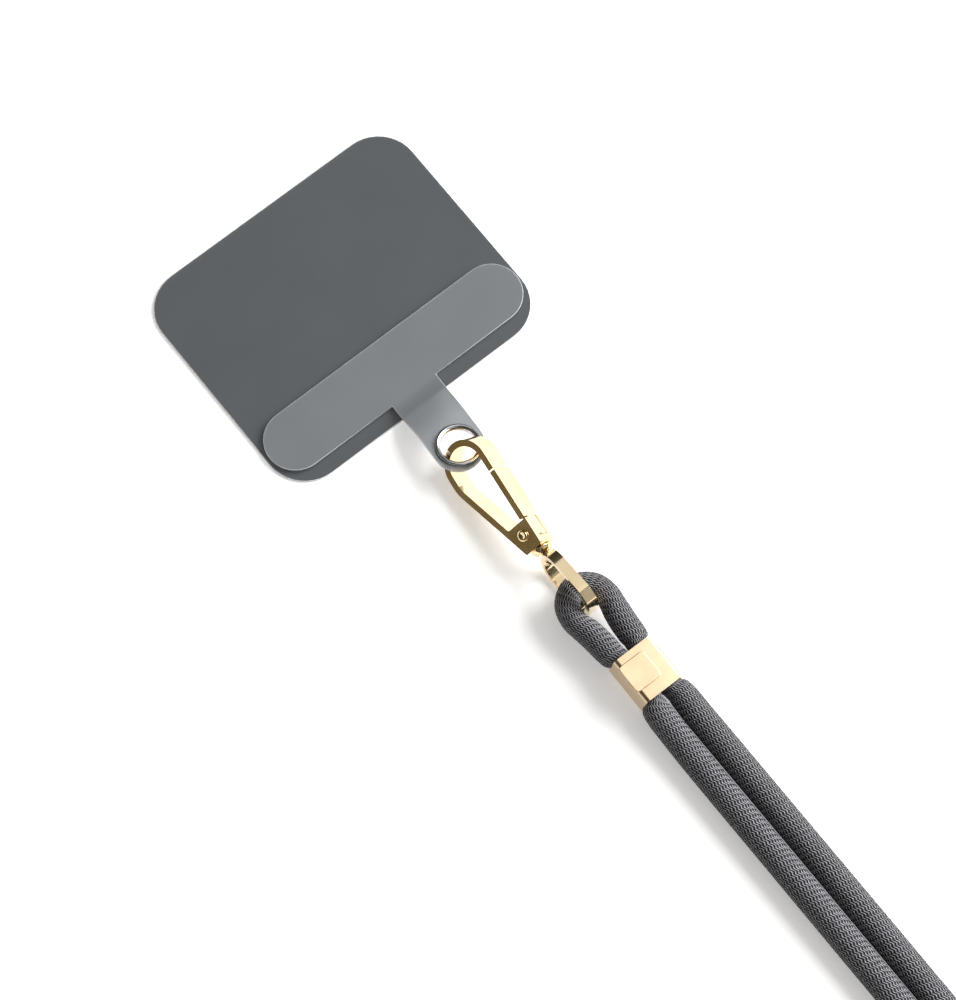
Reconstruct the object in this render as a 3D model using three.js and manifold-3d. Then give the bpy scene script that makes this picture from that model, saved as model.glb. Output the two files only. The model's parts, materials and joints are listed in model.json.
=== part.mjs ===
// A phone crossbody strap laid on a table: clear adhesive film and T-shaped tab, rolled eyelet, swivel snap hook
// with a sprung gate, oval ring, and a folded cord held by a rectangular clamp, with the whole cord loop.
// Millimetres. +X runs from the film along the strap to the cord, +Y goes across it and +Z is up.
// The origin is the middle of the film's underside, on the table.
import * as THREE from "three";
import { mergeVertices } from "three/addons/utils/BufferGeometryUtils.js";
import Module from "manifold-3d";

// Adhesive film
const FILM_LENGTH = 42.2; // along the strap
const FILM_WIDTH = 50.5; // across the strap
const FILM_CORNER = 7.0;
const FILM_THICKNESS = 0.4;

// T-shaped tab: a bar on the film, and a neck that rises off it to a round end
const LAYER_GAP = 0.3; // between the film and the bar
const TAB_THICKNESS = 0.6;
const BAR_HEIGHT = 10.2;
const BAR_LENGTH = 49.4;
const BAR_SETBACK = 2.6; // from the film's edge at the hook to the bar's edge
const TAB_WIDTH = 8.7;
const TAB_MARGIN = 4.3; // from the eyelet's middle to the tab's end
const TAB_REACH = 9.9; // from the film's edge to the eyelet's middle
const TAB_SKEW = 4.2; // degrees that the neck leans towards -Y
const TAB_SLOPE = 7; // degrees that the round end still rises at the eyelet
const TAB_TILT = 7; // degrees that its -Y side is raised there
const EYELET_LIFT = 4.3; // the eyelet's middle above the table
const NECK_BEND_GAP = 0.1; // from the neck's last bend to the round end
const NECK_STEPS = 10;

// Rolled eyelet in the tab
const EYELET_BORE = 5.6;
const EYELET_WALL = 0.35;
const EYELET_FLANGE = 0.55; // how far the rolled rim reaches past the barrel
const EYELET_RIM = 0.3; // the rim's thickness
const EYELET_EDGE = 0.1; // the rim's slanted edge
const EYELET_FLARE = 0.62; // how far the bore opens at both faces
const EYELET_GAP = 0.2; // to the tab, all round

// Snap hook: a drop-shaped flat band with a solid block at the swivel end
const BAND_WIDTH = 3.6;
const BAND_THICKNESS = 1.05;
const HOOK_LENGTH = 21.3; // tip of the bow to the end of the block
const HOOK_WIDTH = 8.55;
const BLOCK_HALF = 2.13; // from the rivet to the block's gate side
const BLOCK_TAPER = 1.46; // from the rivet to the block's other side, at its end
const RIVET_TO_END = 2.75;
const RIVET_TO_THROAT = 2.0; // from the rivet to the block's face inside the hook
const KNEE_TO_RIVET = 11.8; // where the curved leg turns in to the block
const BOW_RADIUS = 4.25;
const KNEE_RADIUS = 5.7;
const EDGE_RADIUS = 0.35;

// Gate: the straight leg, with a tongue in the block's slot
const GATE_REACH = 11.05; // from the rivet to the gate's tip
const GATE_GAP = 0.25;
const TONGUE_THICKNESS = 1.3;
const TONGUE_RADIUS = 1.1; // from the rivet to its round sides
const TONGUE_HEEL_RADIUS = 0.55;
const TONGUE_END_RADIUS = 0.99;
const TONGUE_TOP_RADIUS = 0.88;
const TONGUE_INSET = 0.1; // below the leg's outer face
const TONGUE_OVERLAP = 1.0; // how far it runs into the leg
const GATE_TIP_RADIUS = 0.15;
const SLOT_GAP = 0.3;

// Rivet and swivel post
const RIVET_DIAMETER = 1.0;
const RIVET_HEAD = 1.8;
const RIVET_HEAD_HEIGHT = 0.32;
const RIVET_HEAD_TOP = 1.26; // diameter of its flat top
const RIVET_HEAD_EDGE = 0.1; // height of its straight edge
const PIN_GAP = 0.1;
const POST_DIAMETER = 1.0;
const POST_DEPTH = 1.0; // how far the post is set into the block
const COLLAR_WIDE = 3.7;
const COLLAR_NARROW = 2.9;
const COLLAR_LENGTH = 1.0;
const COLLAR_EDGE = 0.2;
const COLLAR_GAP = 0.2; // to the ring
const POST_HEAD = 1.9;
const POST_HEAD_TOP = 0.95; // diameter of its flat end
const POST_HEAD_LENGTH = 0.65;
const POST_HEAD_GAP = 0.2; // to the ring's inside

// How the hook lies: where its rivet is, with x from the eyelet's middle, and how it is turned
const RIVET_PLACE = new THREE.Vector3(18.25, -1.35, 5.4);
const HOOK_YAW = 6.8; // degrees from +X towards -Y
const HOOK_PITCH = 2.6; // degrees that it falls towards the ring
const HOOK_ROLL = 46; // degrees that its gate side is turned up

// Oval ring, standing on its long side
const RING_LENGTH = 11.4;
const RING_HEIGHT = 9.2;
const RING_CORNER = 3.4;
const RING_WIDTH = 1.8;
const RING_THICKNESS = 1.0;
const RING_MIDDLE = 4.85; // its middle above the table
const RING_YAW = -1.5;
const RING_ROLL = -1.5;

// Cord
const CORD_DIAMETER = 4.75;
const CORD_SIDES = 12;
const STRAP_LINE = -1.15; // the strap's middle line, in Y
const STRAP_HEIGHT = 2.42; // a strand's middle above the table
const EYE_STEPS = 76;
const LOOP_STEPS = 66;
const CORD_JOINT_GAP = 0.3;

// Clamp and its plate; the place has x from the eyelet's middle
const CLAMP_LENGTH = 8.0;
const CLAMP_WIDTH = 7.2;
const CLAMP_HEIGHT = 5.9;
const CLAMP_WALL = 0.45;
const CLAMP_CORNER = 0.7;
const CLAMP_PLACE = new THREE.Vector3(46.2, STRAP_LINE, 3.62);
const CLAMP_PITCH = 4;
const CLAMP_ROLL = -5;
const PLATE_LENGTH = 4.8;
const PLATE_WIDTH = 4.9;
const PLATE_CORNER = 0.6;
const PLATE_THICKNESS = 0.3;
const PLATE_OVERHANG = 0.3;
const PLATE_GAP = 0.05;
const PLATE_FROM_END = 1.2; // from the clamp's end at the eye

const RADIANS = Math.PI / 180;

// One leg of the cord's eye, from the open strands through the clamp to the bight in the ring. x is measured from
// the eyelet's middle, as it is for the loop below. spread is the leg's distance from the strap's middle line,
// height its middle above the table, width its share of the cord's diameter where the clamp or the bend squeezes
// it, and turn its share of the clamp's roll. line is the middle line's own Y where the eye leans to one side.
const EYE_STATIONS = [
  { x: 63, spread: 2.44, height: 2.42, width: 1, turn: 0 },
  { x: 59, spread: 2.43, height: 2.5, width: 1, turn: 0.2 },
  { x: 55, spread: 2.4, height: 2.78, width: 0.99, turn: 0.5 },
  { x: 53.2, spread: 2.3, height: 2.98, width: 0.93, turn: 0.8 },
  { x: 51.4, spread: 1.88, height: 3.2, width: 0.75, turn: 1 },
  { x: 50.2, spread: 1.57, height: 3.32, width: 0.6, turn: 1 },
  { x: 48, spread: 1.57, height: 3.48, width: 0.6, turn: 1 },
  { x: 46.2, spread: 1.57, height: 3.62, width: 0.6, turn: 1 },
  { x: 44, spread: 1.57, height: 3.78, width: 0.6, turn: 1 },
  { x: 42.2, spread: 1.57, height: 3.89, width: 0.6, turn: 1 },
  { x: 41.1, spread: 1.86, height: 3.96, width: 0.74, turn: 0.95, line: -1.18 },
  { x: 39.6, spread: 2.36, height: 4.04, width: 0.9, turn: 0.85, line: -1.23 },
  { x: 37.8, spread: 2.55, height: 4.11, width: 0.94, turn: 0.6, line: -1.25 },
  { x: 35.9, spread: 2.8, height: 4.18, width: 0.93, turn: 0.3, line: -1.25 },
  { x: 34.4, spread: 3.12, height: 4.22, width: 0.86, turn: 0.1, line: -1.3 },
  { x: 32.9, spread: 3.3, height: 4.24, width: 0.84, turn: 0, line: -1.3 },
  { x: 30.75, spread: 2.71, height: 4.25, width: 0.85, turn: 0, line: -1.3 },
  { x: 29.4, spread: 1.25, height: 4.25, width: 0.85, turn: 0, line: -1.3 },
];
const EYE_TIP = { x: 29.08, height: 4.25, width: 0.86, line: -1.3 };

// One half of the loop round the body, from the strands' straight stretch to the loop's far end.
const LOOP_STATIONS = [
  { x: 63, spread: 2.44 },
  { x: 81, spread: 2.44 },
  { x: 99, spread: 2.44 },
  { x: 117, spread: 2.44 },
  { x: 129, spread: 2.6 },
  { x: 145, spread: 4.4 },
  { x: 169, spread: 13 },
  { x: 204, spread: 36 },
  { x: 249, spread: 71 },
  { x: 304, spread: 109 },
  { x: 364, spread: 136 },
  { x: 424, spread: 146 },
  { x: 484, spread: 140 },
  { x: 539, spread: 117 },
  { x: 581, spread: 80 },
  { x: 605, spread: 40 },
];
const LOOP_END = 613;

// Colours
const CLEAR = { color: 0xdfe5ea, roughness: 0.15, metalness: 0, transparent: true, opacity: 0.35 };
const FROSTED = { color: 0xc3cad2, roughness: 0.35, metalness: 0, transparent: true, opacity: 0.6 };
const STEEL = { color: 0xb9bec6, roughness: 0.2, metalness: 1 };
const GOLD = { color: 0xe0bd72, roughness: 0.12, metalness: 1 };
const PALE_GOLD = { color: 0xecd0a0, roughness: 0.3, metalness: 1 };
const CHARCOAL = { color: 0x1b1b20, roughness: 0.85, metalness: 0 };

const wasm = await Module();
wasm.setup();

// A closed geometry as a solid that can be joined and cut.
function toSolid(geometry) {
  const bare = geometry.clone();
  bare.deleteAttribute("normal");
  bare.deleteAttribute("uv");
  const merged = mergeVertices(bare, 1e-5);
  const mesh = new wasm.Mesh({
    numProp: 3,
    vertProperties: new Float32Array(merged.attributes.position.array),
    triVerts: new Uint32Array(merged.index.array),
  });
  return new wasm.Manifold(mesh);
}

// The geometry of a solid that was joined or cut.
function toGeometry(solid) {
  const mesh = solid.getMesh();
  const geometry = new THREE.BufferGeometry();
  geometry.setAttribute("position", new THREE.BufferAttribute(new Float32Array(mesh.vertProperties), 3));
  geometry.setIndex(new THREE.BufferAttribute(new Uint32Array(mesh.triVerts), 1));
  const flat = geometry.toNonIndexed();
  flat.computeVertexNormals();
  return flat;
}

// The outline through a list of corners { x, y, r }, each rounded with an arc of radius r.
function roundedOutline(corners, arcSteps = 8) {
  const points = [];
  corners.forEach((corner, i) => {
    const here = new THREE.Vector2(corner.x, corner.y);
    const before = corners[(i + corners.length - 1) % corners.length];
    const after = corners[(i + 1) % corners.length];
    const back = new THREE.Vector2(before.x, before.y).sub(here).normalize();
    const on = new THREE.Vector2(after.x, after.y).sub(here).normalize();
    if (!corner.r) {
      points.push(here);
      return;
    }
    const half = Math.acos(THREE.MathUtils.clamp(back.dot(on), -1, 1)) / 2;
    const middle = back.clone().add(on).normalize();
    const centre = here.clone().addScaledVector(middle, corner.r / Math.sin(half));
    const start = here.clone().addScaledVector(back, corner.r / Math.tan(half)).sub(centre);
    const turn = (Math.PI - 2 * half) * Math.sign(back.cross(on)) * -1;
    for (let k = 0; k <= arcSteps; k++) {
      points.push(start.clone().rotateAround(new THREE.Vector2(), (turn * k) / arcSteps).add(centre));
    }
  });
  return points;
}

// A plate of the given outline, with holes, between two heights.
function plate(outline, holes, low, high) {
  const shape = new THREE.Shape(outline);
  holes.forEach((hole) => shape.holes.push(new THREE.Path(hole)));
  const geometry = new THREE.ExtrudeGeometry(shape, { depth: high - low, bevelEnabled: false });
  return geometry.translate(0, 0, low);
}

// The corners of a rectangle with equal rounding, from its lowest to its highest corner.
function rectangle(x0, y0, x1, y1, r) {
  return [
    { x: x0, y: y0, r },
    { x: x1, y: y0, r },
    { x: x1, y: y1, r },
    { x: x0, y: y1, r },
  ];
}

function box(x0, y0, z0, x1, y1, z1) {
  const geometry = new THREE.BoxGeometry(x1 - x0, y1 - y0, z1 - z0);
  return geometry.translate((x0 + x1) / 2, (y0 + y1) / 2, (z0 + z1) / 2);
}

// A pin of the given radius along +Z between two heights.
function pin(radius, low, high, sides = 24) {
  const geometry = new THREE.CylinderGeometry(radius, radius, high - low, sides);
  return geometry.rotateX(Math.PI / 2).translate(0, 0, (low + high) / 2);
}

// A turned piece about +Z from a list of [radius, height] that starts and ends on the axis.
function turned(profile, sides = 28) {
  const points = profile.map(([radius, height]) => new THREE.Vector2(radius, height));
  return new THREE.LatheGeometry(points, sides).rotateX(Math.PI / 2);
}

// The film and the tab are in the whole's own frame, and the rest is measured from the eyelet.
const group = new THREE.Group();
const strap = new THREE.Group();
group.add(strap);

function addPiece(parent, name, geometry, finish) {
  const mesh = new THREE.Mesh(geometry, new THREE.MeshStandardMaterial(finish));
  mesh.name = name;
  parent.add(mesh);
  return mesh;
}

// The tab's rise: level on the film, then a smooth climb to the eyelet at TAB_SLOPE.
const filmEdge = FILM_LENGTH / 2;
const barEdge = filmEdge - BAR_SETBACK;
const eyeletX = filmEdge + TAB_REACH;
const barLevel = FILM_THICKNESS + LAYER_GAP + TAB_THICKNESS / 2;
const tabSlope = Math.tan(TAB_SLOPE * RADIANS);
const levelEnd = eyeletX - TAB_MARGIN - NECK_BEND_GAP;

function tabHeight(x) {
  const start = barEdge;
  const span = levelEnd - start;
  const topHeight = EYELET_LIFT - tabSlope * (eyeletX - levelEnd);
  if (x <= start) return barLevel;
  if (x >= levelEnd) return EYELET_LIFT + tabSlope * (x - eyeletX);
  const t = (x - start) / span;
  const rise = (topHeight - barLevel) * (3 * t * t - 2 * t * t * t);
  return barLevel + rise + tabSlope * span * (t * t * t - t * t);
}

// How far the neck leans to -Y at x, and how steeply it is tilted there.
function tabLean(x) {
  return -Math.tan(TAB_SKEW * RADIANS) * Math.max(0, x - barEdge);
}

function tabTilt(x) {
  return Math.tan(TAB_TILT * RADIANS) * THREE.MathUtils.smoothstep(x, barEdge, levelEnd);
}

// Adhesive film: one thin plate on the table.
function filmGeometry() {
  const corners = rectangle(-filmEdge, -FILM_WIDTH / 2, filmEdge, FILM_WIDTH / 2, FILM_CORNER);
  return plate(roundedOutline(corners, 10), [], 0, FILM_THICKNESS);
}

// Tab: the bar is a plate, and the neck is a bent band cut to a round end with the eyelet's hole.
function tabGeometry() {
  const barEnds = rectangle(barEdge - BAR_HEIGHT, -BAR_LENGTH / 2, barEdge, BAR_LENGTH / 2, BAR_HEIGHT / 2 - 0.01);
  const low = barLevel - TAB_THICKNESS / 2;
  const bar = toSolid(plate(roundedOutline(barEnds, 10), [], low, low + TAB_THICKNESS));

  const tabEnd = eyeletX + TAB_MARGIN;
  const stops = [barEdge - BAR_HEIGHT / 2];
  for (let i = 0; i <= NECK_STEPS; i++) stops.push(barEdge + ((levelEnd - barEdge) * i) / NECK_STEPS);
  stops.push(tabEnd + 1);
  const upper = stops.map((x) => new THREE.Vector2(x, tabHeight(x) + TAB_THICKNESS / 2));
  const lower = stops.map((x) => new THREE.Vector2(x, tabHeight(x) - TAB_THICKNESS / 2)).reverse();
  const side = new THREE.Shape([...lower, ...upper]);
  const band = new THREE.ExtrudeGeometry(side, { depth: 2 * TAB_WIDTH, bevelEnabled: false });
  band.rotateX(Math.PI / 2).translate(0, TAB_WIDTH, 0);

  const endCorners = [
    { x: barEdge - BAR_HEIGHT / 2, y: -TAB_WIDTH / 2, r: 0 },
    { x: tabEnd, y: -TAB_WIDTH / 2, r: TAB_WIDTH / 2 - 0.01 },
    { x: tabEnd, y: TAB_WIDTH / 2, r: TAB_WIDTH / 2 - 0.01 },
    { x: barEdge - BAR_HEIGHT / 2, y: TAB_WIDTH / 2, r: 0 },
  ];
  const plan = toSolid(plate(roundedOutline(endCorners, 12), [], -1, EYELET_LIFT + 5));
  const holeRadius = EYELET_BORE / 2 + EYELET_WALL + EYELET_GAP;
  const hole = pin(holeRadius, -2, 2, 32).rotateY(-TAB_SLOPE * RADIANS).translate(eyeletX, 0, EYELET_LIFT);
  const neck = toSolid(band).intersect(plan).subtract(toSolid(hole));

  const geometry = toGeometry(bar.add(neck));
  const place = geometry.attributes.position;
  for (let i = 0; i < place.count; i++) {
    const [x, y, z] = [place.getX(i), place.getY(i), place.getZ(i)];
    place.setXYZ(i, x, y + tabLean(x), z - tabTilt(x) * y);
  }
  geometry.computeVertexNormals();
  return geometry;
}

// Eyelet: a barrel with rolled rims above and below the tab, and a bore that flares to both faces.
function eyeletGeometry() {
  const bore = EYELET_BORE / 2;
  const seat = TAB_THICKNESS / 2 + EYELET_GAP;
  const top = seat + EYELET_RIM;
  const barrel = bore + EYELET_WALL;
  const rim = barrel + EYELET_FLANGE;
  const flareSteps = 8;
  const profile = [];
  for (let i = 0; i <= flareSteps; i++) {
    const angle = ((i / flareSteps) * 2 - 1) * (Math.PI / 2);
    const flare = EYELET_FLARE * (1 - Math.cos(angle));
    profile.push(new THREE.Vector2(bore + flare, -top * Math.sin(angle)));
  }
  const outer = [
    [rim, EYELET_EDGE - top],
    [rim, -seat],
    [barrel, -seat],
    [barrel, seat],
    [rim, seat],
    [rim, top - EYELET_EDGE],
  ];
  outer.forEach(([radius, height]) => profile.push(new THREE.Vector2(radius, height)));
  profile.push(profile[0].clone());
  return new THREE.LatheGeometry(profile, 32).rotateX(Math.PI / 2);
}

// Hook outline, in the hook's plane: x runs from the bow to the block, y towards the gate, rivet at 0, 0.
const bowTip = RIVET_TO_END - HOOK_LENGTH;
const farSide = BLOCK_HALF - HOOK_WIDTH;
const kneeX = -KNEE_TO_RIVET;

// The swivel line: along x, through the middle of the block's end.
const swivelSide = (BLOCK_HALF - BLOCK_TAPER) / 2;

// The frame's outline: round the bow and the block, then back inside, one band's thickness in. The gate's
// place is left open.
function hookCorners() {
  const t = BAND_THICKNESS;
  const knee = new THREE.Vector2(kneeX, farSide);
  const heel = new THREE.Vector2(RIVET_TO_END, -BLOCK_TAPER);
  const along = heel.clone().sub(knee).normalize();
  const onInner = new THREE.Vector2(-along.y, along.x).multiplyScalar(t).add(knee);
  const innerKnee = onInner.clone().addScaledVector(along, (farSide + t - onInner.y) / along.y);
  const throat = onInner.clone().addScaledVector(along, (-RIVET_TO_THROAT - onInner.x) / along.x);
  const legEnd = -GATE_REACH - GATE_GAP;
  return [
    { x: bowTip, y: BLOCK_HALF, r: BOW_RADIUS },
    { x: bowTip, y: farSide, r: BOW_RADIUS },
    { x: knee.x, y: knee.y, r: KNEE_RADIUS },
    { x: heel.x, y: heel.y, r: EDGE_RADIUS },
    { x: RIVET_TO_END, y: BLOCK_HALF, r: EDGE_RADIUS },
    { x: -RIVET_TO_THROAT, y: BLOCK_HALF, r: 0 },
    { x: -RIVET_TO_THROAT, y: throat.y, r: EDGE_RADIUS },
    { x: innerKnee.x, y: innerKnee.y, r: KNEE_RADIUS - t },
    { x: bowTip + t, y: farSide + t, r: BOW_RADIUS - t },
    { x: bowTip + t, y: BLOCK_HALF - t, r: BOW_RADIUS - t },
    { x: legEnd, y: BLOCK_HALF - t, r: 0 },
    { x: legEnd, y: BLOCK_HALF, r: 0 },
  ];
}

function hookFrameGeometry() {
  const half = BAND_WIDTH / 2;
  const body = toSolid(plate(roundedOutline(hookCorners(), 12), [], -half, half));
  const slotHalf = TONGUE_THICKNESS / 2 + SLOT_GAP;
  const slotEdge = TONGUE_RADIUS + SLOT_GAP;
  const slot = box(-RIVET_TO_THROAT - 1, -slotEdge, -slotHalf, slotEdge, BLOCK_HALF + 1, slotHalf);
  const rivetBore = pin(RIVET_DIAMETER / 2 + PIN_GAP, -BAND_WIDTH, BAND_WIDTH);
  const postBore = pin(POST_DIAMETER / 2 + PIN_GAP, 0, POST_DEPTH + 1).rotateY(Math.PI / 2);
  postBore.translate(RIVET_TO_END - POST_DEPTH - PIN_GAP, swivelSide, 0);
  return toGeometry(
    body
      .subtract(toSolid(slot))
      .subtract(toSolid(rivetBore))
      .subtract(toSolid(postBore)),
  );
}

// Gate: the straight leg as wide as the band, and a tongue round the rivet.
function gateGeometry() {
  const legRoot = -RIVET_TO_THROAT - GATE_GAP;
  const leg = roundedOutline(
    [
      { x: -GATE_REACH, y: BLOCK_HALF - BAND_THICKNESS, r: GATE_TIP_RADIUS },
      { x: legRoot, y: BLOCK_HALF - BAND_THICKNESS, r: 0 },
      { x: legRoot, y: BLOCK_HALF, r: 0 },
      { x: -GATE_REACH, y: BLOCK_HALF, r: EDGE_RADIUS },
    ],
    4,
  );
  const tongue = roundedOutline(
    [
      { x: legRoot - TONGUE_OVERLAP, y: BLOCK_HALF - BAND_THICKNESS, r: 0 },
      { x: legRoot, y: BLOCK_HALF - BAND_THICKNESS, r: 0 },
      { x: -TONGUE_RADIUS, y: -TONGUE_RADIUS, r: TONGUE_HEEL_RADIUS },
      { x: TONGUE_RADIUS, y: -TONGUE_RADIUS, r: TONGUE_END_RADIUS },
      { x: TONGUE_RADIUS, y: BLOCK_HALF - TONGUE_INSET, r: TONGUE_TOP_RADIUS },
      { x: legRoot - TONGUE_OVERLAP, y: BLOCK_HALF - TONGUE_INSET, r: 0 },
    ],
    6,
  );
  const half = BAND_WIDTH / 2;
  const bore = pin(RIVET_DIAMETER / 2 + PIN_GAP, -BAND_WIDTH, BAND_WIDTH);
  return toGeometry(
    toSolid(plate(leg, [], -half, half))
      .add(toSolid(plate(tongue, [], -TONGUE_THICKNESS / 2, TONGUE_THICKNESS / 2)))
      .subtract(toSolid(bore)),
  );
}

// Rivet: a shank with a low domed head past each face of the block.
function rivetGeometry() {
  const face = BAND_WIDTH / 2 + PIN_GAP;
  const top = face + RIVET_HEAD_HEIGHT;
  const shank = RIVET_DIAMETER / 2;
  const head = RIVET_HEAD / 2;
  return turned([
    [0, -top],
    [RIVET_HEAD_TOP / 2, -top],
    [head, -face - RIVET_HEAD_EDGE],
    [head, -face],
    [shank, -face],
    [shank, face],
    [head, face],
    [head, face + RIVET_HEAD_EDGE],
    [RIVET_HEAD_TOP / 2, top],
    [0, top],
  ]);
}

// Swivel post, along the hook's x: set in the block, a tapered collar, a shank through the ring and a head.
const collarStart = RIVET_TO_END + PIN_GAP;
const collarEnd = collarStart + COLLAR_LENGTH;
const ringSeat = collarEnd + COLLAR_GAP;
const ringInside = ringSeat + RING_THICKNESS;
const headStart = ringInside + POST_HEAD_GAP;
const headEnd = headStart + POST_HEAD_LENGTH;

function postGeometry() {
  const shank = POST_DIAMETER / 2;
  const profile = [
    [0, RIVET_TO_END - POST_DEPTH],
    [shank, RIVET_TO_END - POST_DEPTH],
    [shank, collarStart],
    [COLLAR_WIDE / 2 - COLLAR_EDGE, collarStart],
    [COLLAR_WIDE / 2, collarStart + COLLAR_EDGE],
    [COLLAR_NARROW / 2, collarEnd - COLLAR_EDGE],
    [COLLAR_NARROW / 2 - COLLAR_EDGE, collarEnd],
    [shank, collarEnd],
    [shank, headStart],
    [POST_HEAD / 2, headStart],
    [POST_HEAD / 2, headStart + POST_HEAD_LENGTH / 2],
    [POST_HEAD_TOP / 2, headEnd],
    [0, headEnd],
  ];
  return turned(profile).rotateY(Math.PI / 2).translate(0, swivelSide, 0);
}

// Ring: an oval flat band in the x, z plane, pierced at its hook end for the post.
function ringGeometry(postLine) {
  const half = RING_HEIGHT / 2;
  const t = RING_THICKNESS;
  const outer = roundedOutline(rectangle(0, -half, RING_LENGTH, half, RING_CORNER), 8);
  const inner = roundedOutline(rectangle(t, t - half, RING_LENGTH - t, half - t, RING_CORNER - t), 8);
  const band = plate(outer, [inner.reverse()], -RING_WIDTH / 2, RING_WIDTH / 2).rotateX(Math.PI / 2);
  const bore = pin(POST_DIAMETER / 2 + PIN_GAP, -1, RING_THICKNESS + 1, 20).rotateY(Math.PI / 2);
  bore.applyMatrix4(postLine);
  return toGeometry(toSolid(band).subtract(toSolid(bore)));
}

// The matrix of a piece whose x points along the given yaw (to -Y) and fall, with its y turned up by roll.
function lyingMatrix(place, yaw, fall, roll) {
  const matrix = new THREE.Matrix4().makeRotationZ(-yaw * RADIANS);
  matrix.multiply(new THREE.Matrix4().makeRotationY(fall * RADIANS));
  matrix.multiply(new THREE.Matrix4().makeRotationX(roll * RADIANS));
  return matrix.setPosition(place);
}

function lyingGroup(matrix) {
  const holder = new THREE.Group();
  matrix.decompose(holder.position, holder.quaternion, holder.scale);
  strap.add(holder);
  return holder;
}

// The points of one leg of the cord; side is 1 towards +Y and -1 towards -Y.
function legPoints(stations, side) {
  return stations.map(({ x, spread, height = STRAP_HEIGHT, turn = 0, line = STRAP_LINE }) => {
    const lift = side * spread * Math.tan(CLAMP_ROLL * RADIANS) * turn;
    return new THREE.Vector3(x, line + side * spread, height + lift);
  });
}

function cordTube(points, steps) {
  const path = new THREE.CatmullRomCurve3(points, false, "centripetal");
  const section = [];
  for (let i = 0; i < CORD_SIDES; i++) {
    const angle = (i / CORD_SIDES) * 2 * Math.PI;
    section.push(new THREE.Vector2(Math.cos(angle), Math.sin(angle)).multiplyScalar(CORD_DIAMETER / 2));
  }
  const shape = new THREE.Shape(section);
  return { path, tube: new THREE.ExtrudeGeometry(shape, { steps, extrudePath: path, bevelEnabled: false }) };
}

// The share of the cord's width at a place along the strap, read from the eye's stations.
function widthShare(x) {
  const rows = [...EYE_STATIONS].reverse();
  if (x <= EYE_TIP.x) return EYE_TIP.width;
  let before = EYE_TIP;
  for (const row of rows) {
    if (x < row.x) return THREE.MathUtils.mapLinear(x, before.x, row.x, before.width, row.width);
    before = row;
  }
  return before.width;
}

// The eye: both legs and the bight in one tube. Each section is narrowed by its width share, square to the cord's
// run and in the clamp's plane.
function eyeGeometry() {
  const there = legPoints(EYE_STATIONS, -1);
  const back = legPoints(EYE_STATIONS, 1).reverse();
  const tip = new THREE.Vector3(EYE_TIP.x, EYE_TIP.line, EYE_TIP.height);
  const { path, tube } = cordTube([...there, tip, ...back], EYE_STEPS);
  const roll = CLAMP_ROLL * RADIANS;
  const square = new THREE.Vector3(0, -Math.sin(roll), Math.cos(roll));
  const rows = path.getSpacedPoints(EYE_STEPS).map((centre, i) => {
    const across = square.clone().cross(path.getTangentAt(i / EYE_STEPS)).normalize();
    return { centre, across, narrowing: widthShare(centre.x) - 1 };
  });
  const place = tube.attributes.position;
  const vertex = new THREE.Vector3();
  for (let i = 0; i < place.count; i++) {
    vertex.fromBufferAttribute(place, i);
    const row = rows.reduce((best, other) =>
      other.centre.distanceToSquared(vertex) < best.centre.distanceToSquared(vertex) ? other : best,
    );
    const offset = vertex.clone().sub(row.centre).dot(row.across);
    vertex.addScaledVector(row.across, offset * row.narrowing);
    place.setXYZ(i, vertex.x, vertex.y, vertex.z);
  }
  return tube;
}

function loopGeometry() {
  const stations = LOOP_STATIONS.map((row, i) => (i ? row : { ...row, x: row.x + CORD_JOINT_GAP }));
  const there = legPoints(stations, 1);
  const back = legPoints(stations, -1).reverse();
  const end = new THREE.Vector3(LOOP_END, STRAP_LINE, there[0].z);
  return cordTube([...there, end, ...back], LOOP_STEPS).tube;
}

// Clamp: a rectangular sleeve along x, and a low plate that overhangs its -Y edge.
function clampGeometry() {
  const w = CLAMP_WIDTH / 2;
  const h = CLAMP_HEIGHT / 2;
  const outer = roundedOutline(rectangle(-h, -w, h, w, CLAMP_CORNER), 4);
  const inner = roundedOutline(
    rectangle(CLAMP_WALL - h, CLAMP_WALL - w, h - CLAMP_WALL, w - CLAMP_WALL, CLAMP_CORNER - CLAMP_WALL / 2),
    4,
  );
  const sleeve = plate(outer, [inner.reverse()], -CLAMP_LENGTH / 2, CLAMP_LENGTH / 2);
  return sleeve.rotateY(Math.PI / 2);
}

function plateGeometry() {
  const start = PLATE_FROM_END - CLAMP_LENGTH / 2;
  const side = -CLAMP_WIDTH / 2 - PLATE_OVERHANG;
  const corners = rectangle(start, side, start + PLATE_LENGTH, side + PLATE_WIDTH, PLATE_CORNER);
  const low = CLAMP_HEIGHT / 2 + PLATE_GAP;
  return plate(roundedOutline(corners, 4), [], low, low + PLATE_THICKNESS);
}

addPiece(group, "phone_film", filmGeometry(), CLEAR);
addPiece(group, "t_tab", tabGeometry(), FROSTED);
strap.position.x = eyeletX;
const eyeletPlace = new THREE.Vector3(0, tabLean(eyeletX), EYELET_LIFT);
addPiece(lyingGroup(lyingMatrix(eyeletPlace, 0, -TAB_SLOPE, -TAB_TILT)), "tab_eyelet", eyeletGeometry(), STEEL);

const hookMatrix = lyingMatrix(RIVET_PLACE, HOOK_YAW, HOOK_PITCH, HOOK_ROLL);
const hook = lyingGroup(hookMatrix);
addPiece(hook, "hook_frame", hookFrameGeometry(), GOLD);
addPiece(hook, "hook_gate", gateGeometry(), GOLD);
addPiece(hook, "gate_rivet", rivetGeometry(), GOLD);
addPiece(hook, "swivel_post", postGeometry(), GOLD);

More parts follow.
